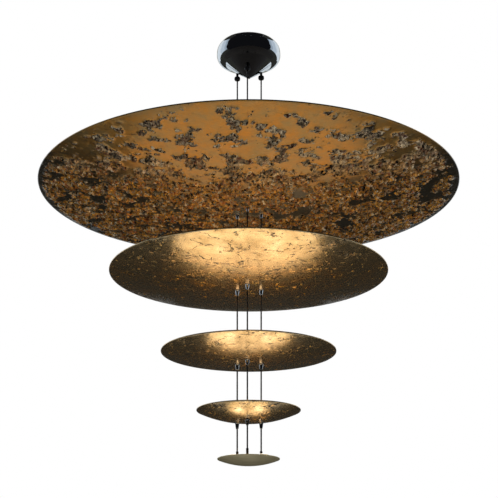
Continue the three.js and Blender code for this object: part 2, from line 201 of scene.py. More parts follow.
def rounded(profile, radius, steps=3, closed=False):
    """A profile of (radius, height) corners with each corner rounded off, up to a share of its edges."""
    corners = [Vector(corner) for corner in profile]
    share = 0.45
    made = []
    for i, corner in enumerate(corners):
        if not closed and i in (0, len(corners) - 1):
            made.append(tuple(corner))
            continue
        back, on = corners[i - 1] - corner, corners[(i + 1) % len(corners)] - corner
        reach = min(radius, back.length * share, on.length * share)
        start, end = corner + back.normalized() * reach, corner + on.normalized() * reach
        for step in range(steps + 1):
            t = step / steps
            made.append(tuple((1 - t) ** 2 * start + 2 * t * (1 - t) * corner + t ** 2 * end))
    return made


def turned(name, profile, material, sectors=64, centre=(0, 0), closed=False, sharp_degrees=35):
    """A turned piece from a (radius, height) profile, about an upright axis through a point."""
    points, faces = ring_body([(radius, height, sectors) for radius, height in profile], closed)
    placed = [(x + centre[0], y + centre[1], z) for x, y, z in points]
    return mesh_object(name, placed, faces, material, sharp_degrees)


def plain_copy(made):
    """Turns a piece and its modifiers into a plain mesh."""
    bpy.context.view_layer.update()
    evaluated = made.evaluated_get(bpy.context.evaluated_depsgraph_get())
    mesh = bpy.data.meshes.new_from_object(evaluated)
    old = made.data
    made.modifiers.clear()
    made.data = mesh
    if old.users == 0:
        bpy.data.meshes.remove(old)
    mesh.name = made.name


def cut_away(made, tool):
    """Cuts a closed tool out of a piece and deletes the tool."""
    cutter = made.modifiers.new("cut", "BOOLEAN")
    cutter.operation = "DIFFERENCE"
    cutter.solver = "MANIFOLD"
    cutter.object = tool
    plain_copy(made)
    bpy.data.objects.remove(tool)


def join_pieces(name, parts):
    """Joins objects of one finish or several into one mesh object under a new name."""
    made = bmesh.new()
    materials = []
    for part in parts:
        first = len(materials)
        materials += list(part.data.materials)
        before = len(made.faces)
        made.from_mesh(part.data)
        made.faces.ensure_lookup_table()
        for face in made.faces[before:]:
            face.material_index += first
    mesh = bpy.data.meshes.new(name)
    made.to_mesh(mesh)
    made.free()
    for material in materials:
        mesh.materials.append(material)
    joined = new_object(name, mesh)
    for part in parts:
        bpy.data.objects.remove(part)
    return joined


def seat(made, body, node):
    """Rides a piece on its body and hides the CAD node that it stands for."""
    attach(made, body)
    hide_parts(node)


# Places read from the frame

def corners_of(node):
    """Every corner of a CAD node."""
    return np.array([v.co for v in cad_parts[node].data.vertices])


def node_rings(node):
    """Every (distance from the node's own axis, height) pair in a CAD node."""
    axis, _, _ = middle(node)
    points = corners_of(node)
    across = np.hypot(points[:, 0] - axis.x, points[:, 1] - axis.y)
    return np.unique(np.round(np.column_stack([across, points[:, 2]]), 5), axis=0)


def bar_ends(node):
    """The middle of a long CAD node's lowest and highest ring."""
    points = corners_of(node)
    low = points[points[:, 2] < points[:, 2].min() + RING_SPREAD].mean(axis=0)
    high = points[points[:, 2] > points[:, 2].max() - RING_SPREAD].mean(axis=0)
    return Vector(low), Vector(high)


def end_radius(node, at_top):
    """The radius of an upright turned CAD node at its top or at its foot."""
    rings = node_rings(node)
    height = rings[:, 1].max() if at_top else rings[:, 1].min()
    return rings[abs(rings[:, 1] - height) < RING_SPREAD / 2][:, 0].max()


def rope_radius():
    """Half the thickness of a cable, from the ring at its foot."""
    points = corners_of("cable_near")
    foot = points[points[:, 2] < points[:, 2].min() + RING_SPREAD]
    spread = foot - foot.mean(axis=0)
    return float(np.hypot(spread[:, 0], spread[:, 1]).max())


def cable_at(side, height):
    """Where a cable is at a height."""
    low, high = bar_ends(f"cable_{side}")
    return low.lerp(high, (height - low.z) / (high.z - low.z))


def middle(node):
    """The middle of a CAD node's box, and its lowest and highest height."""
    low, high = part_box(node)
    return (low + high) / 2, low.z, high.z


def half_width(node):
    """Half the width of a CAD node's box."""
    low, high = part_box(node)
    return (high.x - low.x) / 2


# Sizes and colours that a user can change

def length(name, description, default):
    """A length that a user can change."""
    return bpy.props.FloatProperty(name=name, description=description, unit="LENGTH", default=default)


def finish_colour(name, description, hex_colour):
    """A colour that a user can change."""
    return bpy.props.FloatVectorProperty(name=name, description=description, subtype="COLOR", size=4,
                                         default=linear(hex_colour))


class LampSizes(bpy.types.PropertyGroup):
    """Sizes of the fine shapes. Everything else comes from the frame."""
    dish_walls: bpy.props.FloatVectorProperty(
        name="Dish walls", description="Wall of each dish, from the top one down",
        size=5, unit="LENGTH", default=(0.005, 0.0045, 0.004, 0.0035, 0.003))
    dish_step: length("Dish mesh step", "Distance between the points of a dish's underside", 0.0051)
    leaf_relief: length("Leaf relief", "How far the crumpled leaf of the top dish stands off it", 0.011)
    leaf_clump: length("Leaf clump", "Usual width of a crumpled clump", 0.07)
    leaf_fold: length("Leaf fold", "Usual width of one fold in a clump", 0.016)
    rim_margin: length("Rim margin", "Smooth leaf along the rim of the top dish", 0.03)
    strands: bpy.props.IntProperty(
        name="Cable strands", description="Strands laid round the core of a cable", default=6)
    strand_lay: length("Strand lay", "Height of one turn of a strand", 0.032)
    dome_wall: length("Dome wall", "Wall of the spun dome", 0.0015)
    lamp_power: bpy.props.FloatProperty(
        name="Lamp power", description="Light of each lamp straight up", unit="POWER", default=0.0075)
    bounce_power: bpy.props.FloatVectorProperty(
        name="Bounced light", description="Light thrown back down on each dish, from the second down",
        size=4, unit="POWER", default=(2.7, 3.5, 1.35, 0.52))


class LampColours(bpy.types.PropertyGroup):
    """Colours of the leaf, of the painted highlight, glints and shade on it, and of the light."""
    leaf_gold: finish_colour("Gold leaf", "Smooth leaf under varnish", "#EBAB40")
    # Painted highlight: pale leaf along the front of the lit dishes, where their leaf mirrors the lit dish
    # below
    leaf_front_highlight: finish_colour("Pale gold leaf", "Leaf along the front of the lit dishes", "#F8E0B0")
    leaf_deep: finish_colour("Deep gold leaf", "Smooth leaf of the top dish", "#DD9C34")
    leaf_olive: finish_colour("Dull leaf", "Leaf gone dull and greenish", "#B89C62")
    # Painted shade: dark olive-umber on smooth leaf away from the lamps' glow
    leaf_far_shade: finish_colour("Umber leaf", "Smooth leaf under thick patina", "#3E3B2A")
    leaf_rust: finish_colour("Rust leaf", "Red-brown leaf in the folds", "#8E4A1A")
    # Painted glint: bright cream on the lit crests of the folds
    leaf_glint: finish_colour("Bright leaf", "Burnished crests of the folds", "#FFE9C0")
    # Dark ground where the leaf tore, and painted shade in the hollows of the folds
    leaf_ground_and_shade: finish_colour("Patina", "Dark patina in cracks and crevices", "#20140E")
    lamp_light: finish_colour("Lamp light", "Warm white of the lamps", "#FFF6E6")


def sizes():
    """The sizes as they are set."""
    return bpy.context.scene.lamp_sizes


def colours():
    """The colours as they are set."""
    return bpy.context.scene.lamp_colours


# Leaf finish

def object_place(add, stretch=(1.0, 1.0, 1.0)):
    """Where a point is on the object, in metres, drawn out along an axis where a finish has a direction."""
    place = add("ShaderNodeTexCoord").outputs["Object"]
    return add("ShaderNodeMapping", {"Vector": place, "Scale": stretch})


def patches(add, place, width, low, high, detail=3.0):
    """A noise over patches of a width, from 0 to 1 between two of its levels."""
    noise = add(NOISE, {"Vector": place, "Scale": 1 / width, "Detail": detail, "Roughness": 0.6})
    return add(MAP_RANGE, noise, low, high)


def pulled_about(add, place, width, reach):
    """A place shifted by a noise, so that straight borders turn ragged."""
    pull = add(NOISE, {"Vector": place, "Scale": 1 / width, "Detail": 3.0}).outputs["Color"]
    pull = add(VECTOR_MINUS, pull, (0.5, 0.5, 0.5))
    pull = add(VECTOR_SCALED, {0: pull, "Scale": reach})
    return add(VECTOR_PLUS, place, pull)


def border_lines(add, place, cell, line):
    """Lines of a width along the borders of cells of a width."""
    border = add(VORONOI, {"Vector": place, "Scale": 1 / cell}, feature="DISTANCE_TO_EDGE")
    return add(MAP_RANGE, border, 0.0, line / cell, 1.0, 0.0)


def layered(add, colour, *layers):
    """A colour with others laid over it one after the other, each by its own share."""
    for share, over in layers:
        colour = add("ShaderNodeMix", {0: share, 6: colour, 7: over}, data_type="RGBA").outputs[2]
    return colour


def leaf_material(name, front_highlight, gold, clumps=0.0, cracks=0.0, roughness=0.26, coat=1.0):
    """Gold leaf on a moulded shell, varnished. A metal's colour is in what it mirrors: bright ochre towards a
    lamp and dark olive elsewhere. Its colour also holds painted light: a painted highlight along the front,
    painted shade away from the lamps' glow, and on crumpled clumps painted glints on the crests and painted
    shade in the hollows. Cracks are creases where the leaf tore, lifted and shows its dark ground."""
    material, add, shader = new_material(name, coat_roughness=0.24)
    tones = colours()
    # Widths of 13.3, 5.9, 11.1 and 8.3 mm, as shares of a metre
    fold, fine_fold, frayed_edge, brush_grain = 1 / 75, 1 / 170, 1 / 90, 1 / 120
    place = object_place(add)
    ragged = pulled_about(add, object_place(add, (1.0, 0.55, 1.0)), 0.014, 0.02)

    # Smooth leaf: gold to dull olive over about 60 mm, paler along the front as a painted highlight, with
    # streaks of 3 mm by 20 mm
    tone = patches(add, place, 0.06, 0.35, 0.68, 5.0)
    backward = add("ShaderNodeAttribute", attribute_name="backward").outputs["Fac"]
    behind_highlight = add(MAP_RANGE, backward, -0.85, -0.15)
    streak = patches(add, object_place(add, (0.15, 1.0, 1.0)), 0.003, 0.35, 0.7, 2.0)
    streak = add(TIMES, streak, 0.22)

    # Painted shade in umber on the smooth gaps of crumpled leaf, in patches, the more the further from the
    # lamps' glow
    drawn_out = object_place(add, (0.45, 1.0, 1.0))
    level = add(VECTOR_TIMES, drawn_out, (1.0, 1.0, 0.0))
    from_glow = add(VECTOR_GAP, level, (0.0, -0.5, 0.0))
    away = add(MAP_RANGE, from_glow.outputs["Value"], 0.2, 0.42)
    far_shade = patches(add, drawn_out, 0.05, 0.62, 0.5)
    far_shade = add(TIMES_PLUS, away, 0.9, far_shade)
    far_shade = add(TIMES, far_shade, away, use_clamp=True)
    far_shade = add(TIMES, far_shade, 0.92 * clumps)
    smooth = layered(add, front_highlight, (behind_highlight, gold), (tone, tones.leaf_olive), (streak, tones.leaf_rust),
                     (far_shade, tones.leaf_far_shade))

    # Crumpled leaf: the mask stored with the relief, its edge broken up finely
    mask = add("ShaderNodeAttribute", attribute_name="clump").outputs["Fac"]
    edge = add(NOISE, {"Vector": place, "Scale": 1 / frayed_edge, "Detail": 3.0, "Roughness": 0.6})
    edge = add(MINUS, edge, 0.5)
    edge = add(TIMES_PLUS, edge, 1.2, mask)
    crumpled = add(MAP_RANGE, edge, 0.2, 0.32, 0.0, clumps)

    # Hollows in painted shade, dark, with rust in some of them, the rust more towards the back so that the
    # hollows are darkest at the front. Crests carry painted glints: bright thin squiggles between cells of 13
    # mm and 6 mm, gold or cream, and only some of them are lit
    cell = add(VORONOI, {"Vector": ragged, "Scale": 1 / fold}).outputs["Color"]
    fine_cell = add(VORONOI, {"Vector": ragged, "Scale": 1 / fine_fold}).outputs["Color"]
    chance = add(SEPARATE, cell).outputs
    fine_chance = add(SEPARATE, fine_cell).outputs
    forward = add(SEPARATE, place).outputs[1]
    forward = add(MAP_RANGE, forward, -0.22, -0.5)
    rusty = add(MAP_RANGE, chance[0], 0.45, 0.75)
    kept = add(MAP_RANGE, {0: forward, 3: 1.0, 4: 0.25})
    rusty = add(TIMES, rusty, kept)
    hollow = layered(add, tones.leaf_ground_and_shade, (rusty, tones.leaf_rust))
    crest = add(LARGER, border_lines(add, ragged, 0.013, 0.004), border_lines(add, ragged, 0.006, 0.0015))
    lit = add(MAP_RANGE, fine_chance[1], 0.1, 0.35)
    crest = add(TIMES, crest, lit)
    # The painted glints on the crests are sparse in some places, and sparser towards the front
    glint_share = patches(add, place, 0.035, 0.38, 0.58)
    glint_share = add(TIMES_PLUS, forward, -0.6, glint_share)
    glint_share = add(MAP_RANGE, glint_share, -0.5, 0.6, 0.12, 1.0)
    crest = add(TIMES, crest, glint_share)
    # Painted glints turn cream rather than gold in some cells and towards the front, like silver glints
    pale = add(MAP_RANGE, fine_chance[2], 0.5, 0.8)
    pale = add(LARGER, pale, forward)
    folds_with_painted_light = layered(add, hollow, (crest, layered(add, gold, (pale, tones.leaf_glint))))

    # Cracks: torn lines between cells of 90 mm and 28 mm, and frayed streaks, all of them only in patches
    crooked = pulled_about(add, place, 0.04, 0.06)
    wide = add(TIMES, border_lines(add, crooked, 0.09, 0.0024), patches(add, place, 0.05, 0.5, 0.57))
    narrow = add(TIMES, border_lines(add, crooked, 0.028, 0.0018), patches(add, place, 0.03, 0.57, 0.66))
    torn = add(LARGER, wide, narrow)
    fray = add(TIMES, patches(add, object_place(add, (0.22, 1.0, 1.0)), 0.008, 0.53, 0.66),
               patches(add, place, 0.09, 0.47, 0.62))
    torn = add(TIMES, torn, cracks)
    fray = add(TIMES, fray, 0.5 * cracks)
    darkened = add(TIMES, torn, 0.3)
    colour = layered(add, smooth, (crumpled, folds_with_painted_light), (fray, tones.leaf_rust), (darkened, tones.leaf_ground_and_shade))

    # Each fold leans its own way, most of all on a crest
    lean = add(VECTOR_PLUS, cell, fine_cell)
    lean = add(VECTOR_MINUS, lean, (1.0, 1.0, 1.0))
    broken = add(LARGER, crumpled, torn)
    broken = add(LARGER, broken, fray)
    amount = add(TIMES_PLUS, crest, 1.2, 1.5)
    amount = add(TIMES_PLUS, broken, amount, 0.015)
    lean = add(VECTOR_SCALED, {0: lean, "Scale": amount})
    facing = add("ShaderNodeNewGeometry").outputs["Normal"]
    facing = add(VECTOR_PLUS, facing, lean)
    facing = add(VECTOR_UNIT, facing)
    grain = add(NOISE, {"Vector": place, "Scale": 1 / brush_grain, "Detail": 4.0})
    bump = add("ShaderNodeBump", {"Height": grain, "Normal": facing, "Strength": 0.2, "Distance": 0.001})
    worn = add(MAP_RANGE, {0: broken, 3: roughness, 4: 0.3})
    varnish = add(MAP_RANGE, {0: broken, 3: coat, 4: 0.12 * coat})
    # Crumpled leaf glints in its own colour at the back, and more like silver at the front
    silvery = add(TIMES_PLUS, forward, 0.15, 0.5)
    bare = add(TIMES, crumpled, silvery)
    bare = add(MINUS, 1.0, bare)
    set_inputs(shader, {"Base Color": colour, "Normal": bump, "Roughness": worn, "Coat Weight": varnish,
                        "Metallic": bare})
    return material


def pale_lacquer():
    """Lacquer of the dishes' upper sides: pale gold, half matte, with faint brush marks."""
    material, add, shader = new_material("pale gold lacquer", roughness=0.6)
    marks = patches(add, object_place(add, (0.2, 1.0, 1.0)), 0.004, 0.3, 0.7)
    marks = add(TIMES, marks, 0.12)
    set_inputs(shader, {"Base Color": layered(add, linear("#FBEBCC"), (marks, linear("#B99A62")))})
    return material


def new_group(name, **sockets):
    """Geometry nodes with a geometry in and out and more inputs, listed by their type. Returns the tree, what
    adds a node to it, and its inputs."""
    tree = bpy.data.node_groups.new(name, "GeometryNodeTree")
    tree.interface.new_socket(name="Geometry", in_out="OUTPUT", socket_type="NodeSocketGeometry")
    for kind, labels in {"Geometry": ("Geometry",), **sockets}.items():
        for label in labels:
            tree.interface.new_socket(name=label, in_out="INPUT", socket_type="NodeSocket" + kind)
    add = partial(add_node, tree)
    return tree, add, add("NodeGroupInput").outputs


def relief_tree():
    """Geometry nodes that raise crumpled clumps of leaf on a dish's underside and store where they are."""
    tree, add, given = new_group(
        "leaf relief", Material=("Leaf", "Lacquer"),
        Float=("Relief", "Clump width", "Fold width", "Rim radius", "Rim margin", "Cover", "Seed"))
    place = add("GeometryNodeInputPosition")
    facing = add("GeometryNodeInputNormal")
    parts = add(SEPARATE, place).outputs
    steep = add(SEPARATE, facing).outputs[2]
    faces_down = add(MAP_RANGE, steep, -0.6, -0.8)
    faces_up = add("FunctionNodeCompare", steep, 0.8, operation="GREATER_THAN")

    flat = add(VECTOR_TIMES, place, (1, 1, 0))
    across = add(VECTOR_LENGTH, flat).outputs["Value"]
    from_rim = add(MINUS, given["Rim radius"], across)
    inside = add(OVER, from_rim, given["Rim margin"])
    inside = add(MAP_RANGE, inside, 0.4, 1.4)

    shift = add(COMBINE, given["Seed"], given["Seed"])
    moved = add(VECTOR_PLUS, place, shift)
    clump_scale = add(OVER, 1.0, given["Clump width"])
    patch = add(NOISE, {"Vector": moved, "Scale": clump_scale, "Detail": 5.0, "Roughness": 0.7})
    # Fewer clumps towards the front rim, where the smooth leaf shows
    backward = add(OVER, parts[1], given["Rim radius"])
    crowd = add(MAP_RANGE, backward, -0.78, -0.3, -0.045, 0.04)
    patch = add(PLUS, patch, crowd)
    patch = add(PLUS, patch, given["Cover"])
    mask = add(MAP_RANGE, patch, 0.5, 0.54)
    mask = add(TIMES, mask, inside)
    mask = add(TIMES, mask, faces_down)

    fold_scale = add(OVER, 1.0, given["Fold width"])
    ridges = add(VORONOI, {"Vector": moved, "Scale": fold_scale}).outputs["Distance"]
    fine = add(NOISE, {"Vector": moved, "Scale": fold_scale, "Detail": 4.0, "Roughness": 0.7})
    height = add(PLUS, ridges, fine)
    height = add(MAP_RANGE, height, 0.5, 1.5)
    height = add(TIMES, height, mask)
    height = add(TIMES, height, given["Relief"])
    raised = add(VECTOR_SCALED, {0: facing, "Scale": height})

    stored = given["Geometry"]
    for name, value in (("clump", mask), ("backward", backward)):
        stored = add("GeometryNodeStoreNamedAttribute", {"Geometry": stored, "Name": name, "Value": value},
                     data_type="FLOAT", domain="POINT")
    lifted = add("GeometryNodeSetPosition", {"Geometry": stored, "Offset": raised})
    real = add("GeometryNodeRealizeInstances", lifted)
    leafed = add("GeometryNodeSetMaterial", {"Geometry": real, "Material": given["Leaf"]})
    finished = add("GeometryNodeSetMaterial",
                   {"Geometry": leafed, "Selection": faces_up, "Material": given["Lacquer"]})
    add("NodeGroupOutput", finished)
    return tree


def end_group(add, made, finish):
    """Ends a group: its geometry is made real and gets its finish."""
    real = add("GeometryNodeRealizeInstances", made)
    add("NodeGroupOutput", add("GeometryNodeSetMaterial", {"Geometry": real, "Material": finish}))


def use_tree(made, tree, **values):
    """Puts geometry nodes on a piece, sets their named inputs and makes the result a plain mesh."""
    modifier = made.modifiers.new(tree.name, "NODES")
    modifier.node_group = tree
    sockets = {s.name: s.identifier for s in tree.interface.items_tree if s.in_out == "INPUT"}
    for name, value in values.items():
        modifier[sockets[name.replace("_", " ").capitalize()]] = value
    plain_copy(made)


# Dishes

def dish_rings(radius, depth, wall, foot, step):
    """Rings of a shallow dish, from the middle of its underside round the rim to the middle of its top."""
    sphere = (radius ** 2 + depth ** 2) / (2 * depth)
    edge = 0.35 * wall
    rim = radius - edge

    def height(r):
        return foot + sphere - math.sqrt(sphere ** 2 - r ** 2)

    # Sectors double where they get wider than some steps, and halve where they get narrower than others
    sectors = fewest = 8
    widest, narrowest, coarser = 1.35, 0.7, 2.2
    rings = [(0.0, foot, 1)]
    count = round(rim / step)
    for i in range(1, count + 1):
        r = rim * i / count
        if 2 * math.pi * r / sectors > widest * step:
            sectors *= 2
        rings.append((r, height(r), sectors))
    low, high = height(radius), height(radius) + wall
    bends = [(low + edge, degrees) for degrees in (-60, -30, 0)]
    bends += [(high - edge, degrees) for degrees in (0, 30, 60, 90)]
    for level, degrees in bends:
        turn = math.radians(degrees)
        rings.append((rim + edge * math.cos(turn), level + edge * math.sin(turn), sectors))
    upper_step = coarser * step
    count = round(rim / upper_step)
    for i in range(count - 1, 0, -1):
        r = rim * i / count
        if sectors > fewest and 2 * math.pi * r / sectors < narrowest * upper_step:
            sectors //= 2
        rings.append((r, height(r) + wall, sectors))
    rings.append((0.0, foot + wall, 1))
    return rings


class LAMP_OT_dishes(bpy.types.Operator):
    """Five leafed dishes: the top one with crumpled leaf in relief, the others with smooth cracked leaf"""
    bl_idname = "lamp.make_dishes"
    bl_label = "Dishes"

    def execute(self, context):
        tree, lengths, tones = relief_tree(), sizes(), colours()
        crumpled = leaf_material("crumpled gold leaf", tones.leaf_deep, tones.leaf_deep, clumps=1.0,
                                 cracks=0.3, roughness=0.36, coat=0.7)
        finishes = {1: (crumpled, "crumpled_gold_leaf"), 5: (plain_finish("satin leaf"), "satin_leaf")}
        cracked = leaf_material("cracked gold leaf", tones.leaf_front_highlight, tones.leaf_gold, cracks=1.0)
        # Lacquer of the top dish's upper side: painted shade, dark brown where no lamp lights it, half matte
        shaded, _, _ = new_material("dark bronze lacquer", base_color=linear("#2B221B"), roughness=0.5)
        gold = pale_lacquer()
        for number in DISH_NUMBERS:
            on_top = number == DISH_NUMBERS[0]
            low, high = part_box(f"dish_{number}")
            wall = lengths.dish_walls[number - 1]
            step = lengths.dish_step * (1.0 if on_top else 0.9)
            rings = dish_rings(high.x, high.z - low.z - wall, wall, low.z, step)
            material, slot = finishes.get(number, (cracked, "cracked_gold_leaf"))
            dish = mesh_object(f"leafed_dish_{number}", *ring_body(rings), material, sharp_degrees=60)
            if number != DISH_NUMBERS[-1]:
                for side in CABLE_SIDES:
                    bore = rope_radius() + CABLE_GAP
                    profile = [(0, low.z - wall), (bore, low.z - wall), (bore, high.z), (0, high.z)]
                    centre = cable_at(side, (low.z + high.z) / 2)
                    cut_away(dish, turned("bore tool", profile, material, 24, centre))
            use_tree(dish, tree, Relief=lengths.leaf_relief if on_top else 0.0,
                     Clump_width=lengths.leaf_clump, Fold_width=lengths.leaf_fold, Rim_radius=high.x,
                     Rim_margin=lengths.rim_margin, Cover=0.0 if on_top else -1.0, Seed=float(number),
                     Leaf=material, Lacquer=shaded if on_top else gold)
            shade(dish.data, 60)
            seat(dish, STACK, f"dish_{number}")
        return {"FINISHED"}


# Finishes of the metal, plastic and ceramic pieces

EVERY_WAY = (1.0, 1.0, 1.0)
METAL = {"metallic": 1.0}
# Two colours, the width of the spots in which they mix, two roughnesses, the depth of the unevenness, how the
# spots are drawn out along X, and what else the shader needs. All lengths are in metres.
FINISHES = {
    # Unlit leaf of the lowest dish: dull olive-grey and satin, worn a little along fine scratches
    "satin leaf": (("#C2B690", "#A19672"), 0.018, (0.36, 0.48), 0.0001, (0.3, 1.0, 1.0),
                   {"metallic": 0.6, "coat_weight": 0.3, "coat_roughness": 0.35}),
    # Steel spun, polished and chrome-plated: a clear mirror, a little blue, with the faint ripple and haze
    # that hand polishing leaves
    "chrome plate": (("#CDD3D8", "#DDE0E2"), 0.035, (0.035, 0.07), 0.00006, EVERY_WAY, METAL),
    # Pressed steel with bright zinc: grey, a little streaked along the rolling direction and hazy
    "zinc plate": (("#8E9294", "#B4B6B4"), 0.006, (0.28, 0.5), 0.00008, (0.25, 1.0, 1.0), METAL),
    # Dark brown-grey steel, worn paler in spots of a few millimetres
    "blackened steel": (("#26221F", "#4A443F"), 0.004, (0.3, 0.5), 0.00006, EVERY_WAY, METAL),
    # Near-black, half matte, with the fine grain of the mould
    "moulded black nylon": (("#0B0B0C", "#17171A"), 0.0012, (0.38, 0.55), 0.00005, EVERY_WAY, {"ior": 1.53}),
    # Drawn wire, so it shines, in painted shade: dark grey where it mirrors the dark room, a little lighter
    # in spots
    "stainless wire": (("#3A3836", "#6E6A66"), 0.004, (0.22, 0.42), 0.00003, EVERY_WAY, METAL),
    # Rolled strip gone red-brown with heat, brighter along its rolling lines
    "heat-stained brass": (("#6E3A20", "#B07A3E"), 0.005, (0.25, 0.42), 0.00005, (0.2, 1.0, 1.0), METAL),
    # Ceramic of lampholders: off-white, close-grained, half matte
    "pressed steatite": (("#D8D2C6", "#ECE8DE"), 0.003, (0.4, 0.6), 0.00006, EVERY_WAY, {"ior": 1.6}),
    # Polyester tape wound over a transformer: amber, glossy, darker where turns overlap
    "winding tape": (("#A38A22", "#C9B24C"), 0.009, (0.3, 0.45), 0.0001, EVERY_WAY,
                     {"ior": 1.6, "coat_weight": 0.6, "coat_roughness": 0.12}),
    # Black sheet: soft matte, dusty grey in spots
    "neoprene sheet": (("#141415", "#28282A"), 0.003, (0.75, 0.95), 0.0001, EVERY_WAY, {"ior": 1.5}),
    # Moulded terminal blocks: milky cream, a little shiny
    "milky polyamide": (("#DAD4C4", "#EFEBE0"), 0.004, (0.35, 0.5), 0.00005, EVERY_WAY,
                        {"ior": 1.53, "subsurface_weight": 0.15, "subsurface_scale": 0.002}),
}


def plain_finish(kind, name=None):
    """One of these finishes as a material, under its own name or another."""
    (first, second), width, roughness, depth, stretch, shader_values = FINISHES[kind]
    material, add, shader = new_material(name or kind, **shader_values)
    spots = add(NOISE, {
        "Vector": object_place(add, stretch), "Scale": 1 / width, "Detail": 5.0, "Roughness": 0.6})
    share = add(MAP_RANGE, spots, 0.33, 0.67)
    set_inputs(shader, {
        "Base Color": layered(add, linear(first), (share, linear(second))),
        "Roughness": add(MAP_RANGE, {0: share, 3: roughness[0], 4: roughness[1]}),
        "Normal": add("ShaderNodeBump", {"Height": spots, "Distance": depth})})
    return material


# Things that repeat

def stood_round(add, piece, count, centre=(0.0, 0.0, 0.0)):
    """Copies of a piece, turned evenly about an upright axis through a centre."""
    spots = add("GeometryNodePoints", {"Count": count, "Position": centre})
    share = add(OVER, add("GeometryNodeInputIndex"), count)
    turn = add(COMBINE, {2: add(TIMES, share, 2 * math.pi)})
    return add("GeometryNodeInstanceOnPoints", {"Points": spots, "Instance": piece, "Rotation": turn})


def around_tree():
    """Geometry nodes that stand copies of a small piece in a ring about an upright axis."""
    tree, add, given = new_group("ring of copies", Int=["Copies"], Vector=["Centre"], Material=["Finish"])
    copies = stood_round(add, given["Geometry"], given["Copies"], given["Centre"])
    end_group(add, copies, given["Finish"])
    return tree


def strand_tree():
    """Geometry nodes that lay strands round a core along a straight line: a wire rope."""
    tree, add, given = new_group(
        "wire rope", Int=["Strands"], Float=["Strand radius", "Lay radius", "Lay", "Rope length"],
        Vector=["Foot", "Lean"], Material=["Finish"])
    turns = add(OVER, given["Rope length"], given["Lay"])
    helix = add("GeometryNodeCurveSpiral", {
        "Resolution": 12, "Rotations": turns, "Start Radius": given["Lay radius"],
        "End Radius": given["Lay radius"], "Height": given["Rope length"]})
    laid = add("GeometryNodeRealizeInstances", stood_round(add, helix, given["Strands"]))
    top = add(COMBINE, {2: given["Rope length"]})
    core = add("GeometryNodeCurvePrimitiveLine", {"End": top})
    lines = add("GeometryNodeJoinGeometry", laid)
    set_inputs(lines, {0: core})
    section = add("GeometryNodeCurvePrimitiveCircle", {"Resolution": 7, "Radius": given["Strand radius"]})
    wires = add("GeometryNodeCurveToMesh", {"Curve": lines, "Profile Curve": section, "Fill Caps": True})
    placed = add("GeometryNodeTransform", {
        "Geometry": wires, "Translation": given["Foot"], "Rotation": given["Lean"]})
    end_group(add, placed, given["Finish"])
    return tree


# Canopy

def bezier(points, steps):
    """Points along a cubic curve, as (radius, height)."""
    a, b, c, d = (Vector(point) for point in points)
    made = []
    for i in range(steps + 1):
        t = i / steps
        s = 1 - t
        made.append(tuple(s ** 3 * a + 3 * s * s * t * b + 3 * s * t * t * c + t ** 3 * d))
    return made


def dome_profile(set_in):
    """The spun dome from its mouth to its nose, set in by a wall: a short bulge and a long hollow cone. The
    shares of its width and height are handles of its curves."""
    rings = node_rings("canopy_dome")
    top = rings[:, 1].max()
    widest_radius, widest_height = rings[rings[:, 0].argmax()]
    mouth_radius = rings[rings[:, 1] > top - 1e-4][:, 0].max()
    foot = rings[:, 1].min()
    mouth, widest = mouth_radius - set_in, widest_radius - set_in
    nose = foot - DOME_NOSE_SHORT
    cone = widest_height - nose
    nose += set_in
    upper = bezier(((mouth, top), (mouth + 0.94 * (widest - mouth), 0.36 * widest_height),
                    (widest, 0.5 * widest_height), (widest, widest_height)), 16)
    lower = bezier(((widest, widest_height), (widest, widest_height - 0.1 * cone),
                    (widest * 0.085, nose), (0.0, nose)), 64)
    # The spun shoulder is up to 6 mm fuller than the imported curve
    shoulder_end = 0.74 * widest
    cone_part = [point for point in lower if point[0] < shoulder_end]
    shoulder = bezier(((widest, widest_height), (widest * 0.985, widest_height * 1.33),
                       (widest * 0.93, widest_height * 1.56), cone_part[0]), 20)
    curve = [point for point in upper + shoulder[1:] + cone_part[1:] if point[0] > DOME_NOSE_RADIUS]
    flat = foot + set_in
    return [point for point in curve if point[1] > flat] + [(DOME_NOSE_RADIUS, flat)]


def make_dome(finish):
    """The polished dome: a thin spun shell with a rounded mouth, and a hole for each cable nozzle."""
    wall = sizes().dome_wall
    bevel, rod_hole, nozzle_gap, under, over = 0.3 * wall, 0.0055, 0.0005, -0.15, -0.06
    outer, inner = dome_profile(0.0), dome_profile(wall)
    nose = outer[-1][1]
    lip = [(outer[0][0] - bevel, outer[0][1]), (inner[0][0] + bevel, inner[0][1])]
    outer[0] = (outer[0][0], outer[0][1] - bevel)
    inner[0] = (inner[0][0], inner[0][1] - bevel)
    profile = [(rod_hole, nose), *reversed(outer), *lip, *inner, (rod_hole, inner[-1][1])]
    dome = turned("polished_dome", profile, finish, sectors=160, closed=True, sharp_degrees=50)
    for side in CABLE_SIDES:
        point, _, _ = middle(f"cable_nozzle_{side}")
        hole = end_radius(f"cable_nozzle_{side}", at_top=False) + nozzle_gap
        profile = [(0, under), (hole, under), (hole, over), (0, over)]
        cut_away(dome, turned("hole tool", profile, finish, 32, point))
    shade(dome.data, 50)
    seat(dome, CANOPY, "canopy_dome")


def make_finial(finish):
    """The cap nut on the dome's nose: a domed cap with a flat rim and a turned groove, in shares of its
    radius and height, and a threaded hole."""
    _, low, high = middle("finial_nut")
    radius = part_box("finial_nut")[1].x
    height = high - low
    crown = [(radius * across, low + height * up) for across, up in (
        (0.0, 0.0), (0.2, 0.01), (0.4, 0.045), (0.6, 0.11), (0.78, 0.24), (0.9, 0.4), (0.96, 0.55))]
    thread, depth, groove = 0.0053, 0.0027, 0.93 * radius
    profile = crown + [(groove, low + 0.62 * height), (groove, low + 0.68 * height),
                       (radius, low + 0.74 * height), (radius, high), (thread, high), (thread, high - depth),
                       (0.0, high - depth)]
    cap = turned("cap_nut", profile, finish, sectors=64, sharp_degrees=30)
    seat(cap, CANOPY, "finial_nut")


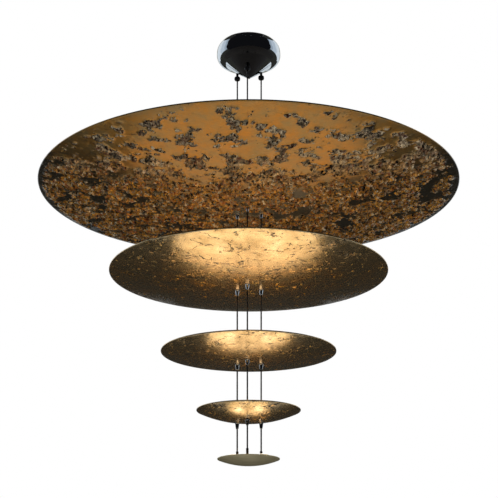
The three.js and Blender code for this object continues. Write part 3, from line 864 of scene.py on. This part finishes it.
class LAMP_OT_canopy(bpy.types.Operator):
    """Polished dome of the canopy and the cap nut that holds it up"""
    bl_idname = "lamp.make_canopy"
    bl_label = "Canopy dome"

    def execute(self, context):
        chrome = plain_finish("chrome plate")
        make_dome(chrome)
        make_finial(chrome)
        return {"FINISHED"}


class LAMP_OT_ceiling_fixing(bpy.types.Operator):
    """Ceiling plate with its screws, threaded rod, carrier plate, clamp dish and nuts"""
    bl_idname = "lamp.make_ceiling_fixing"
    bl_label = "Ceiling fixing"

    def execute(self, context):
        zinc = plain_finish("zinc plate")
        for node in ("ceiling_plate", "centre_rod", "transformer_clamp", "transformer_nut", "carrier_plate",
                     "carrier_nut"):
            finish_node(node, zinc)
        return {"FINISHED"}


class LAMP_OT_transformer(bpy.types.Operator):
    """Wound ring transformer on its rubber pad, and the terminal block beside it"""
    bl_idname = "lamp.make_transformer"
    bl_label = "Transformer"

    def execute(self, context):
        finish_node("transformer", plain_finish("winding tape"))
        finish_node("transformer_pad", plain_finish("neoprene sheet"))
        finish_node("terminal_block", plain_finish("milky polyamide"))
        return {"FINISHED"}


def finish_node(node, finish):
    """Gives a CAD node a finish without touching its shape."""
    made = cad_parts[node]
    made.data.materials.clear()
    made.data.materials.append(finish)


# Cable fittings

def make_knob(side, finish, tree):
    """A grip knob: a rounded black nut with straight ribs, bored for the nozzle and the cable."""
    node = f"grip_knob_{side}"
    centre, low, high = middle(node)
    radius = half_width(node)
    body, bore = radius * 0.94, rope_radius() + CABLE_GAP
    socket, socket_depth = end_radius(f"cable_nozzle_{side}", at_top=False) + SEAT_GAP, 0.008
    outline = rounded([(bore, low), (body, low), (body, high), (socket, high)], 0.003, steps=6)
    profile = outline + [(socket, high - socket_depth), (bore, high - socket_depth)]
    knob = turned("knob body", profile, finish, 64, centre, closed=True)
    rib_count, rib_width, rib_root, margin = 28, 0.0011, 0.0004, 0.0032
    reach, foot, top = radius - body + rib_root, low + margin, high - margin
    rib = rounded([(0, foot), (reach, foot), (reach, top), (0, top)], 0.0006, steps=3)
    ribs = mesh_object("ribs", *rib_body(rib, body - rib_root, rib_width), finish)
    use_tree(ribs, tree, Copies=rib_count, Centre=(centre.x, centre.y, 0), Finish=finish)
    made = join_pieces(f"ribbed_knob_{side}", [knob, ribs])
    seat(made, f"grip_{side}", node)


def rib_body(outline, radius, width):
    """Points and faces of an upright rib whose (depth, height) outline stands on a radius, a width thick."""
    points = [(radius + depth, sign * width / 2, height) for sign in (-1, 1) for depth, height in outline]
    count = len(outline)
    faces = [tuple(range(count)), tuple(range(2 * count - 1, count - 1, -1))]
    faces += [(i, i + count, (i + 1) % count + count, (i + 1) % count) for i in range(count)]
    return points, faces


class LAMP_OT_cable_grips(bpy.types.Operator):
    """Nozzle and ribbed grip knob of each cable, under the dome"""
    bl_idname = "lamp.make_cable_grips"
    bl_label = "Cable grips"

    def execute(self, context):
        plastic, steel = plain_finish("moulded black nylon"), plain_finish("blackened steel")
        tree = around_tree()
        for side in CABLE_SIDES:
            make_knob(side, plastic, tree)
            finish_node(f"cable_nozzle_{side}", steel)
        return {"FINISHED"}


class LAMP_OT_cables(bpy.types.Operator):
    """Three wire ropes with their strands laid round a core"""
    bl_idname = "lamp.make_cables"
    bl_label = "Cables"

    def execute(self, context):
        steel, tree = plain_finish("stainless wire"), strand_tree()
        rope = rope_radius()
        sine = math.sin(math.pi / sizes().strands)
        strand = rope * sine / (1 + sine)
        for side in CABLE_SIDES:
            node = f"cable_{side}"
            foot, top = bar_ends(node)
            along = top - foot
            lean = along.to_track_quat("Z", "Y").to_euler()
            made = mesh_object(f"wire_rope_{side}", [tuple(foot)], [], steel)
            use_tree(made, tree, Strands=sizes().strands, Strand_radius=strand, Lay_radius=rope - strand,
                     Lay=sizes().strand_lay, Rope_length=along.length, Foot=tuple(foot), Lean=tuple(lean),
                     Finish=steel)
            made.data.shade_smooth()
            seat(made, STACK, node)
        return {"FINISHED"}


def make_stop(number, side, finish, socket_finish):
    """A cone stop: a turned cone with a collar, its wide end under the dish, held by a grub screw."""
    node = f"cable_stop_{number}_{side}"
    centre, low, high = middle(node)
    wide = half_width(node)
    bore, foot = rope_radius() + SEAT_GAP, end_radius(node, at_top=False)
    collar, step = 0.0019, 0.0006
    outline = rounded([(bore, low), (foot, low), (wide - step, high - 0.0026), (wide, high - collar),
                       (wide, high), (bore, high)], 0.0004, steps=3, closed=True)
    stop = turned(f"cone_stop_{number}_{side}", outline, finish, 48, centre, closed=True)
    away = Vector((centre.x, centre.y, 0)).normalized()
    lift, hole_radius = Vector((0, 0, 0.004)), 0.0015
    ends = [centre + away * reach + lift for reach in (0.0042, 0.009)]
    cut_away(stop, cylinder_between("grub hole", *ends, hole_radius, socket_finish, 20))
    seat(stop, STACK, node)


def cylinder_between(name, start, end, radius, finish, sectors):
    """A closed round bar between two points."""
    along = end - start
    points, faces = ring_body([(0, 0, 1), (radius, 0, sectors), (radius, along.length, sectors),
                               (0, along.length, 1)])
    turn = along.to_track_quat("Z", "Y")
    return mesh_object(name, [start + turn @ Vector(point) for point in points], faces, finish)


class LAMP_OT_cable_stops(bpy.types.Operator):
    """Twelve chromed cone stops under the dishes, and the dark terminal at each cable's foot"""
    bl_idname = "lamp.make_cable_stops"
    bl_label = "Cable stops and ends"

    def execute(self, context):
        chrome, steel = plain_finish("chrome plate", "stop chrome"), plain_finish("blackened steel")
        for number in DISH_NUMBERS[:-1]:
            for side in CABLE_SIDES:
                make_stop(number, side, chrome, steel)
        for side in CABLE_SIDES:
            make_end(side, steel)
        return {"FINISHED"}


def make_end(side, finish):
    """A cable end: a turned terminal with a foot flange and three crimped grooves."""
    node = f"cable_end_{side}"
    centre, low, high = middle(node)
    flange = half_width(node)
    body, socket = end_radius(node, at_top=True), rope_radius() + SEAT_GAP
    socket_floor, pitch, groove_floor = low + 0.017, 0.0055, body - 0.0005
    outline = [(0.0, low), (flange, low), (flange, low + 0.003), (body, low + 0.005)]
    for turn in range(3):
        groove = low + 0.020 + pitch * turn
        outline += [(body, groove), (groove_floor, groove + 0.0006), (groove_floor, groove + 0.0024),
                    (body, groove + 0.003)]
    outline += [(body, high), (socket, high), (socket, socket_floor), (0.0, socket_floor)]
    made = turned(f"crimped_end_{side}", rounded(outline, 0.0004, steps=2), finish, 40, centre)
    seat(made, STACK, node)


# Lamps

def make_lamp_bar(number, finish):
    """A lamp bar: a rolled strip with rounded ends on a turned foot."""
    node = f"lamp_bar_{number}"
    _, low, high = middle(node)
    left, right = (middle(f"lamp_{number}_{side}")[0] for side in LAMP_SIDES)
    along = right - left
    overhang = 0.011
    half = along.length / 2 + overhang
    along.z = 0
    along.normalize()
    across = Vector((-along.y, along.x, 0))
    width, thick, corner, edge = 0.014, 0.002, 0.004, 0.0003
    outline = []
    for sign_x, sign_y, first in ((1, 1, 0), (-1, 1, 90), (-1, -1, 180), (1, -1, 270)):
        for step in range(7):
            turn = math.radians(first + 15 * step)
            outline.append((sign_x * (half - corner) + corner * math.cos(turn),
                            sign_y * (width / 2 - corner) + corner * math.sin(turn)))
    narrowed = 1 - edge / width * 2
    rings = [(narrowed, high - thick), (1, high - thick + edge), (1, high - edge), (narrowed, high)]
    points = [along * (x * scale) + across * (y * scale) + Vector((0, 0, height))
              for scale, height in rings for x, y in outline]
    count = len(outline)
    faces = [tuple(range(count - 1, -1, -1)), tuple(range(3 * count, 4 * count))]
    for ring in range(3):
        faces += strip_between(count, count, ring * count, (ring + 1) * count)
    strip = mesh_object("strip", points, faces, finish)
    under, neck, head = high - thick - 0.0002, 0.0042, high + 0.00005
    foot = rounded([(0, low), (0.007, low), (0.007, low + 0.0015), (neck, low + 0.003), (neck, under),
                    (0, under)], 0.0005, steps=2)
    foot = turned("foot", foot, finish, 48)
    screw = rounded([(0, head), (0.004, head), (0.004, high + 0.0012), (0, high + 0.0022)], 0.0008, steps=4)
    screw = turned("bar screw", screw, finish, 32)
    made = join_pieces(f"brass_bar_{number}", [strip, foot, screw])
    seat(made, STACK, node)


def make_lampholder(number, side, finish):
    """A lampholder: a pressed ceramic disc with a collar that narrows to the lamp's neck."""
    node = f"lampholder_{number}_{side}"
    centre, low, high = middle(node)
    outline = rounded([(0, low), (0.015, low), (0.015, low + 0.0063), (0.0135, low + 0.0070),
                       (0.0130, low + 0.0076), (0.012, high), (0, high)], 0.0008, steps=3)
    made = turned(f"ceramic_holder_{number}_{side}", outline, finish, 64, centre)
    seat(made, STACK, node)


def make_lamp(number, side, glass, body):
    """A reflector lamp: a flared body with a bright rim and a slightly crowned front glass."""
    node = f"lamp_{number}_{side}"
    centre, low, high = middle(node)
    neck, flare, shell_radius, shell_top = 0.012, 0.01505, 0.0175, high - 0.0023
    shell = rounded([(0, low), (neck, low), (flare, low + 0.0056), (shell_radius, high - 0.004),
                     (shell_radius, high - 0.0025), (0.0160, shell_top), (0, shell_top)], 0.0006, steps=3)
    rim, radius, rise = high - 0.0022, 0.0164, 0.0021
    turns = [math.radians(15 * step) for step in range(1, 6)]
    crown = [(radius * math.cos(turn), rim + rise * math.sin(turn)) for turn in turns]
    crown = [(0.0, rim), (radius, rim), *crown, (0.0, high)]
    parts = [turned("shell", shell, body, 64, centre), turned("glass", crown, glass, 64, centre)]
    seat(join_pieces(f"reflector_lamp_{number}_{side}", parts), STACK, node)


def area_light(name, place, turn, glossy, **values):
    """An area light that the camera doesn't see."""
    light = bpy.data.lights.new(name, "AREA")
    for key, value in values.items():
        setattr(light, key, value)
    made = new_object(name, light)
    made.location, made.rotation_euler = place, turn
    made.visible_camera, made.visible_glossy = False, glossy
    return made


def shine(name, place, energy, width, upward):
    """A round light of the lamps that rides with the dishes. It shows in reflections where it shines up."""
    turn = (math.pi if upward else 0, 0, 0)
    made = area_light(name, place, turn, upward, shape="DISK", energy=energy, size=width,
                      color=colours().lamp_light[:3], spread=math.radians(160))
    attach(made, STACK)


class LAMP_OT_lamps(bpy.types.Operator):
    """Lamp bars, lampholders and lamps on the four lower dishes, and their light"""
    bl_idname = "lamp.make_lamps"
    bl_label = "Lamps"

    def execute(self, context):
        brass, ceramic = plain_finish("heat-stained brass"), plain_finish("pressed steatite")
        # Front glass, frosted and lit from behind: warm white and soft
        glass, _, _ = new_material("lit frosted glass", base_color=colours().lamp_light, roughness=0.3,
                                   emission_color=colours().lamp_light, emission_strength=1.2)
        body = plain_finish("chrome plate", "lamp reflector")
        glow_lift, glow_width, bounce_drop, bounce_share = 0.001, 0.045, 0.022, 3.0
        for number in LIT_DISHES:
            make_lamp_bar(number, brass)
            for side in LAMP_SIDES:
                make_lampholder(number, side, ceramic)
                make_lamp(number, side, glass, body)
                centre, _, high = middle(f"lamp_{number}_{side}")
                shine(f"light_{number}_{side}", (centre.x, centre.y, high + glow_lift), sizes().lamp_power,
                      glow_width, upward=True)
            above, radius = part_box(f"dish_{number - 1}")[0].z, half_width(f"dish_{number}")
            shine(f"bounce_{number}", (0, 0, above - bounce_drop), sizes().bounce_power[number - 2],
                  bounce_share * radius, upward=False)
        return {"FINISHED"}


# Stage

# Screens on arcs round the lamp: radius, lowest and highest height, first and last angle from the camera's
# side, and glow. Three dark ones close the room, one of them a flat disc, and two glow in it at the back.
SCREENS = {
    "front_screen": (6.5, (-7.4, 13.0), (-82, 82), (0.006, 0.006, 0.007)),
    "back_screen": (6.5, (-7.4, 13.0), (82, 278), (0.03, 0.03, 0.026)),
    "top_screen": (6.5, (13.0, 13.0), (0, 360), (0.006, 0.006, 0.007)),
    "back_panel": (5.0, (-0.3, 5.0), (150, 210), (0.42, 0.42, 0.38)),
    "low_panel": (0.95, (-0.555, -0.3), (168, 192), (0.75, 0.7, 0.58)),
}
# Pale panels that stand on the right and mirrored on the left
SIDE_PANELS = {
    "82": (5.0, (-1.4, 5.0), (82, 92), (0.4, 0.47, 0.55)),
    "92": (5.0, (-1.4, 5.0), (92, 116), (0.6, 0.68, 0.77)),
    "116": (5.0, (-1.4, 5.0), (116, 150), (0.84, 0.9, 0.95)),
    "behind": (4.9, (-0.6, 1.2), (150, 172), (0.7, 0.76, 0.8)),
}


def make_screen(name, radius, heights, degrees, glow):
    """A screen that only reflections see."""
    material = bpy.data.materials.new(name)
    add = cleared(material)
    add("ShaderNodeOutputMaterial", add("ShaderNodeEmission", (*glow, 1)))
    steps = 40
    turns = [math.radians(degrees[0] + (degrees[1] - degrees[0]) * i / steps) for i in range(steps + 1)]
    points = [(radius * math.sin(turn), -radius * math.cos(turn), height)
              for height in heights for turn in turns]
    faces = [(i, i + 1, i + steps + 2, i + steps + 1) for i in range(steps)]
    if heights[0] == heights[1]:
        points, faces = points[:steps], [tuple(range(steps))]
    screen = mesh_object(name, points, faces, material)
    for ray in ("camera", "diffuse", "transmission", "shadow"):
        setattr(screen, f"visible_{ray}", False)


class LAMP_OT_stage(bpy.types.Operator):
    """Camera, pale floor and background, soft light, and the screens that stand round the lamp"""
    bl_idname = "lamp.make_stage"
    bl_label = "Stage"

    def execute(self, context):
        eye = new_object("camera", bpy.data.cameras.new("camera"))
        eye.data.lens, eye.data.sensor_width, rise_degrees = 84.07, 36.0, 18.55
        eye.location = (0.0014, -3.911, -2.1226)
        eye.rotation_euler = (math.radians(90 + rise_degrees), 0, 0)
        context.scene.camera = eye

        # White to the camera, in mirrors and through glass, and half as bright as a light
        world = bpy.data.worlds.new("white background")
        add = cleared(world)
        ray = add("ShaderNodeLightPath").outputs
        seen = add(LARGER, ray["Is Camera Ray"], ray["Is Glossy Ray"])
        seen = add(LARGER, seen, ray["Is Transmission Ray"])
        strength = add(MAP_RANGE, {0: seen, 3: 0.5, 4: 1.0})
        add("ShaderNodeOutputWorld", add("ShaderNodeBackground", (1, 1, 1, 1), strength))
        context.scene.world = world

        floor_drop, floor_radius = 7.5, 16.0
        # Matt paint: pale grey, without a shine
        pale, _, _ = new_material("pale floor", base_color=linear("#E6E6E4"), roughness=0.9)
        points, faces = ring_body([(0, -floor_drop, 1), (floor_radius, -floor_drop, 96)])
        floor = mesh_object("floor", points, [face[::-1] for face in faces], pale)

        for name, screen in SCREENS.items():
            make_screen(name, *screen)
        for name, (radius, heights, (near, far), glow) in SIDE_PANELS.items():
            make_screen(f"pale_panel_right_{name}", radius, heights, (near, far), glow)
            make_screen(f"pale_panel_left_{name}", radius, heights, (-far, -near), glow)

        aim = Vector((0, 0, -0.8))
        for label, x in (("left", -2.6), ("right", 2.6)):
            place = Vector((x, -2.0, -1.2))
            turn = (aim - place).to_track_quat("-Z", "Z").to_euler()
            area_light(f"soft_light_{label}", place, turn, False, shape="RECTANGLE", size=1.2, size_y=2.4,
                       energy=30.0)
        context.scene.view_settings.view_transform = "Standard"
        return {"FINISHED"}


class LAMP_PT_panel(bpy.types.Panel):
    """Lists the lamp's pieces"""
    bl_label = "Pendant Lamp"
    bl_idname = "LAMP_PT_panel"
    bl_space_type = "VIEW_3D"
    bl_region_type = "UI"
    bl_category = "Lamp"

    def draw(self, context):
        for operator in PIECE_OPERATORS:
            self.layout.operator(operator.bl_idname)


PIECE_OPERATORS = (
    LAMP_OT_stage, LAMP_OT_canopy, LAMP_OT_ceiling_fixing, LAMP_OT_transformer, LAMP_OT_cable_grips,
    LAMP_OT_cables, LAMP_OT_dishes, LAMP_OT_cable_stops, LAMP_OT_lamps)
CLASSES = (LampSizes, LampColours, *PIECE_OPERATORS, LAMP_PT_panel)


def register():
    for made in CLASSES:
        bpy.utils.register_class(made)
    bpy.types.Scene.lamp_sizes = bpy.props.PointerProperty(type=LampSizes)
    bpy.types.Scene.lamp_colours = bpy.props.PointerProperty(type=LampColours)


def unregister():
    del bpy.types.Scene.lamp_colours
    del bpy.types.Scene.lamp_sizes
    for made in reversed(CLASSES):
        bpy.utils.unregister_class(made)


def main():
    register()
    bpy.ops.lamp.make_stage()
    bpy.ops.lamp.make_canopy()
    bpy.ops.lamp.make_ceiling_fixing()
    bpy.ops.lamp.make_transformer()
    bpy.ops.lamp.make_cable_grips()
    bpy.ops.lamp.make_cables()
    bpy.ops.lamp.make_dishes()
    bpy.ops.lamp.make_cable_stops()
    bpy.ops.lamp.make_lamps()


if __name__ == "__main__":
    main()
